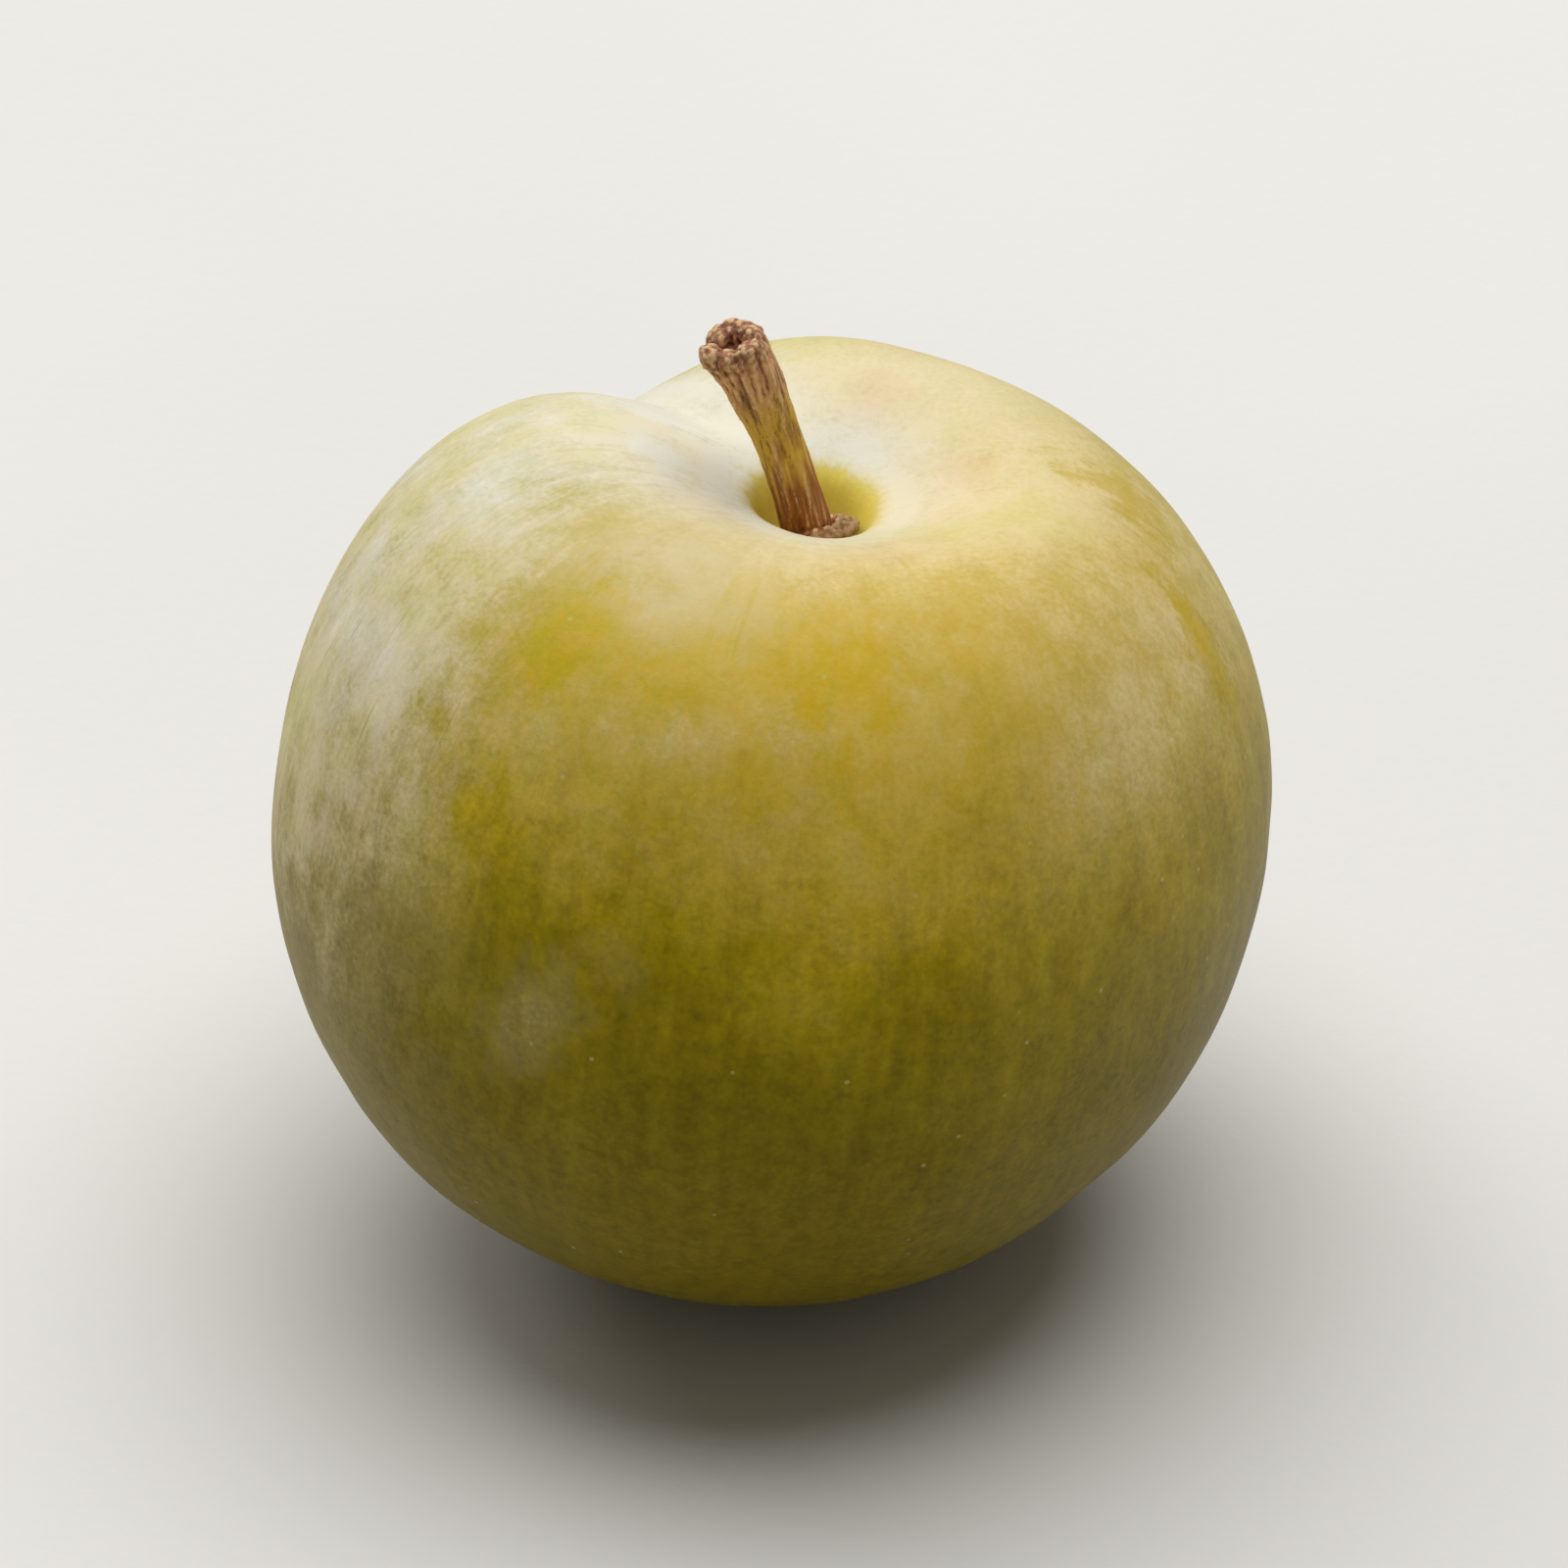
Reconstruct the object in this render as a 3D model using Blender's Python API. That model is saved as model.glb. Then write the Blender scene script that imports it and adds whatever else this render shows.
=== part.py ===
"""A greengage plum as picked: one round stone fruit and the short woody stalk that stands in its crown.

The fruit rests on a small flat spot beside its blossom end. +Z is up, the origin is the middle of
that spot, and -Y is the fruit's front. The fruit is a ball whose points are placed by a formula: a
squared-off body, two uneven cheeks, a sunken crown with a narrow pit for the stalk, and the seam
that runs from the pit down the back to the blossom end. The stalk is a ball drawn out in the same
way, along a leaning line. Angles round the fruit are counted from +X, anticlockwise from above.
"""

import math

import bmesh
import bpy
from mathutils import Matrix, Vector

MM = 0.001

# Body of the fruit, measured from the level of its widest girth
FRUIT_WIDTH = 45.0 * MM
CROWN_RISE = 21.5 * MM
BASE_DROP = 21.5 * MM
CROWN_SQUARENESS = 2.2
BASE_SQUARENESS = 2.1

# Uneven growth: the belly stands forward, the cheeks are wider one way, one shoulder is higher
BELLY_SWELL = 0.02
BELLY_TURN = math.radians(-95)
CHEEK_SWELL = 0.03
CHEEK_TURN = math.radians(55)
SHOULDER_RISE = 2.9 * MM
SHOULDER_TURN = math.radians(-110)

# Sunken crown and the stalk's pit in the middle of it
CROWN_SINK = 6.0 * MM
CROWN_SINK_RADIUS = 8.3 * MM
PIT_DEPTH = 2.3 * MM
PIT_FLOOR_RADIUS = 1.85 * MM
PIT_RIM_RADIUS = 2.6 * MM

# Seam: a broad valley with a narrow crease along its bottom
SEAM_TURN = math.radians(125)
SEAM_START = 3.5 * MM
SEAM_FULL = 10.0 * MM
VALLEY_DEPTH_CROWN = 2.5 * MM
VALLEY_DEPTH_SIDE = 0.7 * MM
VALLEY_HALF_WIDTH = 5.0 * MM
CREASE_DEPTH = 0.35 * MM
CREASE_HALF_WIDTH = 1.2 * MM
VALLEY_DEEPENS_FROM = math.radians(84)
VALLEY_DEEPENS_TO = math.radians(37)
SEAM_FADES_FROM = math.radians(125)
SEAM_FADES_TO = math.radians(175)

# Blossom end and the spot that the fruit rests on
SCAR_DEPTH = 0.35 * MM
SCAR_RADIUS = 1.5 * MM
FLAT_SPOT_CUT = 0.35 * MM

# The fruit's axis leans to the right and a little back
LEAN_RIGHT = math.radians(6.4)
LEAN_BACK = math.radians(2.5)

# Stalk, in the fruit's own frame: it leaves the pit floor and leans to the left
STALK_GAP = 0.3 * MM
STALK_SET_RIGHT = 0.5 * MM
STALK_HEIGHT = 11.0 * MM
STALK_SLOPE_FOOT = 0.30
STALK_SLOPE_TIP = 0.58
SHAFT_RADIUS = 1.02 * MM
COLLAR_RADIUS = 1.2 * MM
COLLAR_HEIGHT = 1.3 * MM
COLLAR_FADE = 0.5 * MM
COLLAR_LOPSIDE = 0.05
UPRIGHT_FOOT = 2.6 * MM
TIP_RADIUS = 1.38 * MM
TIP_FLARE_LENGTH = 4.5 * MM
TIP_DISH = 0.3 * MM
RIDGE_COUNT = 7
RIDGE_SHARE = 0.06
RIDGE_TWIST = math.radians(60)
KNOB_SHARE = 0.14
KNOB_TURN = math.radians(175)
SMALL_KNOB_SHARE = 0.07
SMALL_KNOB_COUNT = 3

# Mesh fineness
FRUIT_SEGMENTS = 72
FRUIT_RINGS = 54
END_CROWDING = 0.75
SEAM_CROWDING = 0.4
STALK_SEGMENTS = 28
STALK_RINGS = 34
STALK_CAP_RINGS = 4

SKIN_COLOUR = (0.48, 0.44, 0.13, 1.0)
BARK_COLOUR = (0.26, 0.14, 0.07, 1.0)


def smooth_step(value, low, high):
    """0 below low, 1 above high, and an even S between them."""
    share = min(max((value - low) / (high - low), 0.0), 1.0)
    return share * share * (3 - 2 * share)


def bell(distance, half_width):
    return math.exp(-((distance / half_width) ** 2))


def squared_body(polar):
    """Distance from the axis and height of the plain body, a superellipse that is squarer on top."""
    above = polar < math.pi / 2
    power = 2 / (CROWN_SQUARENESS if above else BASE_SQUARENESS)
    outward = FRUIT_WIDTH / 2 * abs(math.sin(polar)) ** power
    upward = abs(math.cos(polar)) ** power
    return outward, upward * (CROWN_RISE if above else -BASE_DROP)


def uneven_growth(outward, upward, azimuth):
    """The body with its belly, its cheeks and the higher shoulder."""
    swell = 1 + BELLY_SWELL * math.cos(azimuth - BELLY_TURN)
    swell += CHEEK_SWELL * math.cos(2 * (azimuth - CHEEK_TURN))
    if upward > 0:
        girth = outward / (FRUIT_WIDTH / 2)
        shoulder = girth * girth * upward / CROWN_RISE
        upward += SHOULDER_RISE * math.cos(azimuth - SHOULDER_TURN) * shoulder
    return outward * swell, upward


def sunken_ends(outward, upward, polar):
    """The crown's hollow with the stalk's pit, and the dimple of the blossom scar."""
    if polar < math.pi / 2:
        upward -= CROWN_SINK * bell(outward, CROWN_SINK_RADIUS)
        upward -= PIT_DEPTH * (1 - smooth_step(outward, PIT_FLOOR_RADIUS, PIT_RIM_RADIUS))
    else:
        upward += SCAR_DEPTH * bell(outward, SCAR_RADIUS)
    return upward


def seam_depth(outward, polar, azimuth):
    """How far the seam draws the skin inwards: deepest behind the pit, gone at the blossom end."""
    along = outward * math.cos(azimuth - SEAM_TURN)
    across = outward * math.sin(azimuth - SEAM_TURN)
    crown_share = 1 - smooth_step(polar, VALLEY_DEEPENS_TO, VALLEY_DEEPENS_FROM)
    valley = VALLEY_DEPTH_SIDE + (VALLEY_DEPTH_CROWN - VALLEY_DEPTH_SIDE) * crown_share
    depth = valley * bell(across, VALLEY_HALF_WIDTH)
    depth += CREASE_DEPTH * bell(across, CREASE_HALF_WIDTH)
    at_pit = smooth_step(along, SEAM_START, SEAM_FULL)
    below = 1 - smooth_step(polar, SEAM_FADES_FROM, SEAM_FADES_TO)
    return depth * at_pit * below


def fruit_point(polar, azimuth):
    """A point of the skin in the fruit's own frame, whose origin is the middle of its girth."""
    outward, upward = squared_body(polar)
    outward, upward = uneven_growth(outward, upward, azimuth)
    upward = sunken_ends(outward, upward, polar)
    point = Vector((outward * math.cos(azimuth), outward * math.sin(azimuth), upward))
    return point - point.normalized() * seam_depth(outward, polar, azimuth)


def stalk_radius(height, azimuth):
    """Radius of the stalk at a height above its foot: ridged shaft, lopsided collar, knobbly flared tip."""
    at_collar = 1 - smooth_step(height, COLLAR_HEIGHT - COLLAR_FADE, COLLAR_HEIGHT + COLLAR_FADE)
    at_tip = smooth_step(height, STALK_HEIGHT - TIP_FLARE_LENGTH, STALK_HEIGHT)
    radius = SHAFT_RADIUS + (COLLAR_RADIUS - SHAFT_RADIUS) * at_collar
    radius += (TIP_RADIUS - SHAFT_RADIUS) * at_tip
    twist = RIDGE_TWIST * height / STALK_HEIGHT
    ridges = RIDGE_SHARE * math.cos(RIDGE_COUNT * (azimuth + twist))
    knobs = KNOB_SHARE * math.cos(azimuth - KNOB_TURN)
    knobs += SMALL_KNOB_SHARE * math.cos(SMALL_KNOB_COUNT * azimuth)
    lopside = COLLAR_LOPSIDE * at_collar * math.cos(azimuth)
    return radius * (1 + ridges + knobs * at_tip + lopside)


def stalk_line(height):
    """Sideways place and slope of the stalk's middle line, which leans more towards its tip."""
    gain = (STALK_SLOPE_TIP - STALK_SLOPE_FOOT) / STALK_HEIGHT
    sideways = STALK_SLOPE_FOOT * height + gain * height * height / 2
    return STALK_SET_RIGHT - sideways, STALK_SLOPE_FOOT + gain * height


def stalk_ring(ring):
    """Height, share of the full radius, and hollow of one ring: end caps of a few rings, then the shaft."""
    last = STALK_RINGS
    from_end = min(ring, last - ring)
    cap_share = min(from_end / STALK_CAP_RINGS, 1.0)
    shaft_share = (ring - STALK_CAP_RINGS) / (last - 2 * STALK_CAP_RINGS)
    height = STALK_HEIGHT * min(max(shaft_share, 0.0), 1.0)
    hollow = TIP_DISH * (1 - cap_share * cap_share) if ring > last / 2 else 0.0
    return height, cap_share, hollow


def stalk_point(ring, azimuth):
    """A point of the stalk, measured along the fruit's own axes from just above the pit floor's middle."""
    height, cap_share, hollow = stalk_ring(ring)
    sideways, slope = stalk_line(height)
    radius = stalk_radius(height, azimuth) * cap_share
    turn = Matrix.Rotation(-math.atan(slope) * smooth_step(height, 0.0, UPRIGHT_FOOT), 3, "Y")
    across = turn @ Vector((radius * math.cos(azimuth), radius * math.sin(azimuth), -hollow))
    return Vector((sideways, 0.0, height)) + across


def add_object(name, mesh_builder, colour, roughness, collection):
    """A smooth-shaded object with its own material, made from a ball that mesh_builder reshapes."""
    shape = bmesh.new()
    mesh_builder(shape)
    bmesh.ops.recalc_face_normals(shape, faces=shape.faces)
    mesh = bpy.data.meshes.new(name)
    shape.to_mesh(mesh)
    shape.free()
    mesh.shade_smooth()
    material = bpy.data.materials.new(name)
    material.use_nodes = True
    surface = material.node_tree.nodes["Principled BSDF"]
    surface.inputs["Base Color"].default_value = colour
    surface.inputs["Roughness"].default_value = roughness
    surface.inputs["Metallic"].default_value = 0.0
    mesh.materials.append(material)
    made = bpy.data.objects.new(name, mesh)
    collection.objects.link(made)
    return made


def ball_angles(vertex):
    """Polar angle from the ball's top and azimuth round it."""
    direction = vertex.co.normalized()
    return math.acos(min(max(direction.z, -1.0), 1.0)), math.atan2(direction.y, direction.x)


def shape_fruit(shape):
    """Moves the ball's points onto the skin, crowded together at both ends and beside the seam."""
    bmesh.ops.create_uvsphere(shape, u_segments=FRUIT_SEGMENTS, v_segments=FRUIT_RINGS, radius=1.0)
    lean = Matrix.Rotation(-LEAN_BACK, 3, "X") @ Matrix.Rotation(LEAN_RIGHT, 3, "Y")
    for vertex in shape.verts:
        polar, azimuth = ball_angles(vertex)
        polar -= END_CROWDING / 2 * math.sin(2 * polar)
        azimuth -= SEAM_CROWDING * math.sin(azimuth - SEAM_TURN)
        vertex.co = lean @ fruit_point(polar, azimuth)


def flatten_foot(fruit):
    """Presses the lowest skin flat at z = 0 and puts the middle of that flat spot on the origin."""
    points = fruit.data.vertices
    table = min(vertex.co.z for vertex in points) + FLAT_SPOT_CUT
    touching = [vertex.co for vertex in points if vertex.co.z <= table]
    middle_x = (min(co.x for co in touching) + max(co.x for co in touching)) / 2
    middle_y = (min(co.y for co in touching) + max(co.y for co in touching)) / 2
    for vertex in points:
        vertex.co.z = max(vertex.co.z, table)
    offset = Vector((-middle_x, -middle_y, -table))
    fruit.data.transform(Matrix.Translation(offset))
    return offset


def shape_stalk(shape):
    """Draws a ball out along the stalk's line."""
    bmesh.ops.create_uvsphere(shape, u_segments=STALK_SEGMENTS, v_segments=STALK_RINGS, radius=1.0)
    for vertex in shape.verts:
        polar, azimuth = ball_angles(vertex)
        vertex.co = stalk_point(round((math.pi - polar) / math.pi * STALK_RINGS), azimuth)


def main():
    for old in list(bpy.data.objects):
        bpy.data.objects.remove(old)
    plum = bpy.data.collections.new("greengage_plum")
    bpy.context.scene.collection.children.link(plum)

    fruit = add_object("fruit", shape_fruit, SKIN_COLOUR, 0.5, plum)
    offset = flatten_foot(fruit)

    stalk = add_object("stalk", shape_stalk, BARK_COLOUR, 0.8, plum)
    lean = Matrix.Rotation(-LEAN_BACK, 4, "X") @ Matrix.Rotation(LEAN_RIGHT, 4, "Y")
    pit_floor = CROWN_RISE - CROWN_SINK - PIT_DEPTH
    foot = Vector((0.0, 0.0, pit_floor + STALK_GAP))
    stalk.matrix_world = Matrix.Translation(offset) @ lean @ Matrix.Translation(foot)


main()
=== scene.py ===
# %% [markdown]
# # A greengage plum
# The object is one ripe greengage with its stalk, as picked, resting on a small flat spot.
# Its solids are already made, at their real size, and this lesson gives them their looks.
# The first cell loads those solids. They are never moved or reshaped here. The fruit's solid is
# replaced by a finer skin that starts as its copy, and the stalk's solid by a finer stalk that
# is modelled in its place.

# %% Load the solids
import math
import random

import bpy
from mathutils import Matrix, Vector


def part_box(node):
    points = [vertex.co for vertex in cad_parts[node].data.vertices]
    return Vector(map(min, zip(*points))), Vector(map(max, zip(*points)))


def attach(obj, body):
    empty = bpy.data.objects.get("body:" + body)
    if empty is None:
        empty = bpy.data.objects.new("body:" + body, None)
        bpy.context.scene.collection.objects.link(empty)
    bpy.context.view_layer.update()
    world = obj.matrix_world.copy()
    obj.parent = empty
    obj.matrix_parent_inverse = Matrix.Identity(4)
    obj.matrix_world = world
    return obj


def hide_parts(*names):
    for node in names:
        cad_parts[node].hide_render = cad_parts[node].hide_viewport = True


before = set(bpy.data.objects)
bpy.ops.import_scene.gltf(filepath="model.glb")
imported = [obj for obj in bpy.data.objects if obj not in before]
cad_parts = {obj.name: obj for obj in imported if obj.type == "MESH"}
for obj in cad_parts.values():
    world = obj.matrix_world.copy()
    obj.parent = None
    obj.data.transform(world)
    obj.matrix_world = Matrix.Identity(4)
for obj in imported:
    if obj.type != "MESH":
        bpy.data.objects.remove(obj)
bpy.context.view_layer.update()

MM = 0.001

# %% [markdown]
# ## The fruit's own axis
# A plum never stands straight: the line from its stalk to its blossom end leans. Patterns on
# the skin follow that line and not the table, so the lean and the middle of the fruit's widest
# girth are named once. `fruit_place` takes a place in the fruit's own frame, in millimetres from
# that middle with z up the axis, and gives back the same place in the scene. Directions round the
# axis are given as turns, in degrees from +X and anticlockwise from above.

# %% Name the fruit's axis
LEAN_RIGHT = math.radians(6.4)
LEAN_BACK = math.radians(2.5)
SEAM_TURN = 125
PIT_FLOOR = 13.2
HEART = Vector((-0.47, -0.28, 21.2)) * MM
lean = Matrix.Rotation(-LEAN_BACK, 3, "X") @ Matrix.Rotation(LEAN_RIGHT, 3, "Y")


def fruit_place(x, y, z):
    return HEART + lean @ Vector((x, y, z)) * MM


print("the pit's floor is at", [round(v / MM, 1) for v in fruit_place(0, 0, PIT_FLOOR)], "mm")

# %% [markdown]
# ## Working on one piece at a time
# Blender's operators act on whatever is selected, and the loaded solids start out selected.
# These helpers select one piece alone, open it for editing, and apply a modifier once it is set.
# `group_by` paints a vertex group by a rule, so that a modifier can work more in one place than
# in another. Such rules are mostly written with `rise`, a share that grows in an even S.

# %% Helpers for operators
def only(piece):
    bpy.ops.object.select_all(action="DESELECT")
    piece.select_set(True)
    bpy.context.view_layer.objects.active = piece


def edit(piece):
    only(piece)
    bpy.ops.object.mode_set(mode="EDIT")
    bpy.ops.mesh.select_mode(type="VERT")
    bpy.ops.mesh.select_all(action="SELECT")


def leave_edit():
    bpy.ops.object.mode_set(mode="OBJECT")


def apply_modifier(piece, kind, **settings):
    only(piece)
    modifier = piece.modifiers.new(kind.title(), kind)
    for name, value in settings.items():
        setattr(modifier, name, value)
    bpy.ops.object.modifier_apply(modifier=modifier.name)


def rise(value, low, high):
    """0 below low, 1 above high, and an even S between them."""
    share = min(max((value - low) / (high - low), 0.0), 1.0)
    return share * share * (3 - 2 * share)


def group_by(piece, name, weight):
    group = piece.vertex_groups.new(name=name)
    for point in piece.data.vertices:
        group.add([point.index], weight(point.co), "REPLACE")
    return name


def cloud(name, lump, depth=2):
    """A cloudy texture for a Displace modifier, with lumps of the given size."""
    texture = bpy.data.textures.new(name, "CLOUDS")
    texture.noise_scale = lump
    texture.noise_depth = depth
    return texture


print("rise from 0 to 10 goes", [round(rise(value, 0, 10), 2) for value in (0, 2.5, 5, 7.5, 10)])

# %% [markdown]
# ## The skin
# The fruit's solid already has the body, the sunken crown, the pit and the seam, but in flat
# facets. A plum's skin is taut and smooth, so a copy of the solid is merged, its triangles are
# joined back into quads, and a Subdivision Surface rounds them. A fresh sphere would mean
# finding the same shape twice.
#
# Taut skin is still not a perfect curve: the flesh swells a little more here and less there.
# A Displace modifier with large soft clouds gives that, about a tenth of a millimetre each way,
# and it fades out towards the flat spot so that the plum keeps lying on the table.

# %% Copy and smooth the skin
WELD = 0.002 * MM
QUAD_LIMIT = math.radians(60)
ROUNDINGS = 2
SWELLING_LUMP = 9 * MM
SWELLING = 0.35 * MM
FLAT_BELOW = 0.3 * MM
FREE_ABOVE = 5 * MM

skin = bpy.data.objects.new("plum_skin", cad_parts["fruit"].data.copy())
bpy.context.scene.collection.objects.link(skin)
skin.data.materials.clear()
edit(skin)
bpy.ops.mesh.remove_doubles(threshold=WELD)
bpy.ops.mesh.tris_convert_to_quads(face_threshold=QUAD_LIMIT, shape_threshold=QUAD_LIMIT)
leave_edit()
apply_modifier(skin, "SUBSURF", levels=ROUNDINGS, render_levels=ROUNDINGS)

above_table = group_by(skin, "above_table", lambda co: rise(co.z, FLAT_BELOW, FREE_ABOVE))
apply_modifier(skin, "DISPLACE", texture=cloud("swelling", SWELLING_LUMP), texture_coords="LOCAL",
               strength=SWELLING, mid_level=0.5, vertex_group=above_table)
skin.vertex_groups.clear()
skin.data.shade_smooth()
print("the skin has", len(skin.data.polygons), "faces")

# %% [markdown]
# ## The stalk's shaft
# The stalk is a woody shaft that leans and bends, with ridges that wind round it. Carving that in
# place is hard, so it is made the way a maker would plan it: straight and upright first, with all
# its knobs and ridges, and bent along a curve at the very end. The shaft is a disc that is
# extruded over and over. Each step moves the end face up and scales it to the shaft's width
# there: wide and corky where it leaves the fruit, slim in the middle, and swollen to the left at
# the knot where it broke from the twig. The last face is inset and pushed in, because the break
# is hollow. Sizes along and across the shaft are in millimetres.

# %% The shaft's width
SHAFT_LENGTH = 12.4
COLLAR_RADIUS = 1.50
SHAFT_RADIUS = 1.10
KNOT_RADIUS = 1.42
WAIST_DEPTH = 0.06
BREAK_ROUNDING = 0.25
KNOT_SHIFT = 0.12

COLLAR_FADES = (0.6, 1.9)
WAIST_NARROWS = (2.0, 4.5)
WAIST_WIDENS = (5.0, 8.5)
KNOT_SWELLS = (7.0, SHAFT_LENGTH - 0.6)
KNOT_LEANS = (SHAFT_LENGTH - 2.2, SHAFT_LENGTH)
BREAK_ROUNDS = (SHAFT_LENGTH - 0.6, SHAFT_LENGTH + 0.2)


def shaft_radius(height):
    collar = (COLLAR_RADIUS - SHAFT_RADIUS) * (1 - rise(height, *COLLAR_FADES))
    waist = -WAIST_DEPTH * rise(height, *WAIST_NARROWS) * (1 - rise(height, *WAIST_WIDENS))
    knot = (KNOT_RADIUS - SHAFT_RADIUS) * rise(height, *KNOT_SWELLS)
    rounded = -BREAK_ROUNDING * rise(height, *BREAK_ROUNDS)
    return SHAFT_RADIUS + collar + waist + knot + rounded


def shaft_shift(height):
    """How far the knot swells to the left."""
    return -KNOT_SHIFT * rise(height, *KNOT_LEANS)


for height in (0, 2, 5, 8, SHAFT_LENGTH):
    print("at", height, "mm the shaft's radius is", round(shaft_radius(height), 2), "mm")

# %% Extrude the shaft
SHAFT_STEPS = 48
SHAFT_SIDES = 28
BREAK_WALL = 0.30
BREAK_DEPTH = 0.60
PITH_INSET = 0.30
PITH_SHIFT = 0.05
PITH_RISE = 0.10

bpy.ops.object.select_all(action="DESELECT")
bpy.ops.mesh.primitive_circle_add(vertices=SHAFT_SIDES, radius=shaft_radius(0) * MM, fill_type="NGON")
stalk = bpy.context.object
stalk.name = "plum_stalk"
edit(stalk)
step = SHAFT_LENGTH / SHAFT_STEPS
for i in range(1, SHAFT_STEPS + 1):
    height = i * step
    sideways = shaft_shift(height) - shaft_shift(height - step)
    bpy.ops.mesh.extrude_region_move(TRANSFORM_OT_translate={"value": (sideways * MM, 0, step * MM)})
    grown = shaft_radius(height) / shaft_radius(height - step)
    middle = (shaft_shift(height) * MM, 0, height * MM)
    bpy.ops.transform.resize(value=(grown, grown, 1), center_override=middle)
bpy.ops.mesh.inset(thickness=BREAK_WALL * MM)
bpy.ops.transform.translate(value=(0, 0, -BREAK_DEPTH * MM))
bpy.ops.mesh.inset(thickness=PITH_INSET * MM)
bpy.ops.transform.translate(value=(PITH_SHIFT * MM, 0, PITH_RISE * MM))
bpy.ops.mesh.select_all(action="SELECT")
bpy.ops.mesh.normals_make_consistent(inside=False)
leave_edit()
print("the shaft has", len(stalk.data.polygons), "faces")

# %% [markdown]
# ## Cork and torn fibre
# Where the stalk meets the fruit there is a rough ring of cork, and the broken end has a few
# blunt knobs round a dark hollow. Each is a small icosphere, stretched and turned, that sits half
# in the wood. An icosphere 1 mm across is added, so that its scale is its size in millimetres.
# The sizes and tilts vary by random numbers, which start from a fixed seed.

# %% A knob
KNOB_SIZE = 1.0
KNOB_TILT = 0.4
chance = random.Random(7)
knobs = []


def add_knob(height, turn, outward, width, along):
    """A knob at a turn round the shaft (degrees) and a distance from its middle line. Sizes in mm."""
    side = math.radians(turn)
    place = Vector((shaft_shift(height) + outward * math.cos(side), outward * math.sin(side), height)) * MM
    bpy.ops.mesh.primitive_ico_sphere_add(subdivisions=2, radius=KNOB_SIZE / 2 * MM, location=place)
    knob = bpy.context.object
    knob.scale = (width * chance.uniform(0.75, 1.0), width, along)
    tilts = [chance.uniform(-KNOB_TILT, KNOB_TILT) for axis in "XY"]
    knob.rotation_euler = (*tilts, side)
    knobs.append(knob)


print("a knob starts", KNOB_SIZE, "mm across and tilts up to", round(math.degrees(KNOB_TILT)), "degrees")

# %% [markdown]
# The torn fibres stand in an uneven ring at the broken end, with a few more that were placed one
# by one to give the ring the outline it has in the photo. Each row of `TIP_KNOBS` holds the
# knob's turn, how far it sits below the tip and inside the knot's edge, its width and its length.

# %% Knobs at the broken end
RIM_KNOBS = 6
RIM_SET_IN = 0.48
TIP_KNOBS = (
    (188, 0.05, 0.22, 1.15, 1.3),
    (205, 0.80, 0.42, 0.9, 1.7),
    (100, 0.05, 0.55, 1.3, 1.2),
    (65, 0.10, 0.55, 1.4, 1.2),
    (25, 0.30, 0.50, 1.3, 1.3),
)

for i in range(RIM_KNOBS):
    turn = 360 * (i + chance.uniform(-0.3, 0.3)) / RIM_KNOBS
    add_knob(SHAFT_LENGTH - chance.uniform(0.35, 0.6), turn, KNOT_RADIUS - RIM_SET_IN,
             chance.uniform(1.15, 1.4), chance.uniform(1.0, 1.5))
for turn, below_tip, inwards, width, along in TIP_KNOBS:
    add_knob(SHAFT_LENGTH - below_tip, turn, KNOT_RADIUS - inwards, width, along)
print(len(knobs), "knobs at the broken end")

# %% [markdown]
# The cork is a crumbly ring round the foot, a little wider to the right, with a flat ragged lip
# that shows in front and at the right. Each row of `CORK_LIP` holds a turn, a distance from the
# middle line and a height, and a smaller crumb sits beside each flake of the lip.

# %% Knobs of cork
CORK_KNOBS = 20
CORK_SET_IN = 0.25
CORK_LOPSIDE = 0.2
CORK_LIP = (
    (-115, 1.10, 2.10),
    (-92, 1.25, 2.20),
    (-70, 1.40, 2.25),
    (-50, 1.55, 2.20),
    (-32, 1.70, 2.10),
    (-15, 1.85, 1.95),
    (3, 1.95, 1.80),
    (22, 1.75, 1.70),
    (42, 1.45, 1.55),
)
FLAKE_THICKNESS = 0.45
CRUMB_WIDTH = 0.45
CRUMB_THICKNESS = 0.35
CRUMB_SHIFT = 0.15
CRUMB_TURN = 9

for i in range(CORK_KNOBS):
    turn = 360 * (i + chance.uniform(-0.4, 0.4)) / CORK_KNOBS
    lopsided = CORK_LOPSIDE * max(math.cos(math.radians(turn)), -0.5)
    add_knob(chance.uniform(0.35, 1.1), turn, COLLAR_RADIUS - CORK_SET_IN + lopsided,
             chance.uniform(0.45, 0.8), chance.uniform(0.35, 0.7))
for turn, outward, height in CORK_LIP:
    add_knob(height, turn, outward, chance.uniform(0.8, 1.05), FLAKE_THICKNESS)
    add_knob(height + CRUMB_SHIFT, turn + CRUMB_TURN, outward - CRUMB_SHIFT, CRUMB_WIDTH, CRUMB_THICKNESS)
print(len(knobs), "knobs in all")

# %% [markdown]
# The knobs are joined to the shaft, and a Remesh modifier melts everything into one skin, as if it
# had been pinched out of clay. A Smooth modifier takes the small steps out of it.

# %% Join and melt together
MELT_SIZE = 0.065

only(stalk)
for knob in knobs:
    knob.select_set(True)
bpy.ops.object.join()
bpy.ops.object.transform_apply(location=True, rotation=True, scale=True)
apply_modifier(stalk, "REMESH", mode="VOXEL", voxel_size=MELT_SIZE * MM)
apply_modifier(stalk, "SMOOTH", factor=0.5, iterations=4)
print("melted into", len(stalk.data.polygons), "faces")

# %% [markdown]
# ## Ridges in the bark
# Bark shrinks into ridges that run up the shaft. A cloudy texture that is stretched along the
# shaft gives such ridges: the Displace modifier reads it through an empty that is scaled long in
# that direction, and the empty is removed afterwards. The ridges are high at the broken end and
# low in the middle, and both ends get coarse lumps as well.

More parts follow.
